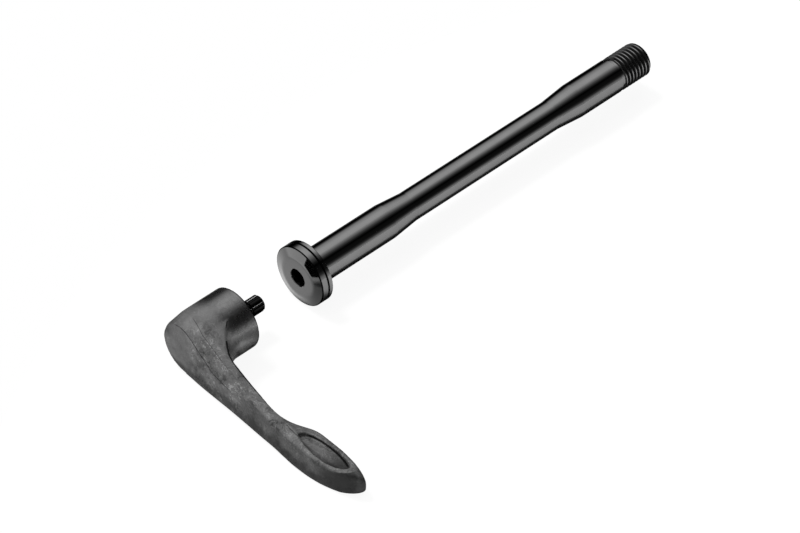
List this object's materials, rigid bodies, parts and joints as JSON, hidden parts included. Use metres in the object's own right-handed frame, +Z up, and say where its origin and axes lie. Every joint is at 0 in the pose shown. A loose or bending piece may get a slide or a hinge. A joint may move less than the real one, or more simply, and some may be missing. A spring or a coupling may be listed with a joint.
{
  "type": "rear thru axle",
  "caption": "Hollow rear thru axle for a bicycle with a thrust washer under its head, threaded at the far end, and a pull-out lever beside it.",
  "frame": {"origin": "on the axle's axis, in the bearing face of the washer under the head", "axes": "+X along the axle from the head to the thread, +Z up, the lever's arm towards -Y"},
  "size_m": [0.2031, 0.0863, 0.021],
  "materials": {
    "anodised_shaft": "gloss black anodised",
    "anodised_washer": "gloss black anodised",
    "spring_steel": "plain",
    "forged_carbon": "satin, marbled with short fibres",
    "insert_metal": "dark, turned",
    "black_steel": "black oxide, gloss"
  },
  "bodies": {
    "axle": {"axle_shaft": "anodised_shaft", "washer_keeper": "spring_steel"},
    "washer": {"thrust_washer": "anodised_washer"},
    "lever": {"lever_body": "forged_carbon", "lever_insert": "insert_metal", "lever_bit": "black_steel", "bit_clip": "black_steel"}
  },
  "joints": [
    {"name": "washer_spin", "type": "hinge", "parent": "axle", "child": "washer", "pos_m": [0, 0, 0], "axis": [1, 0, 0], "continuous": true},
    {"name": "lever_plug", "type": "slide", "parent": "axle", "child": "lever", "axis": [1, 0, 0], "range_m": [0, 0.0253]}
  ]
}
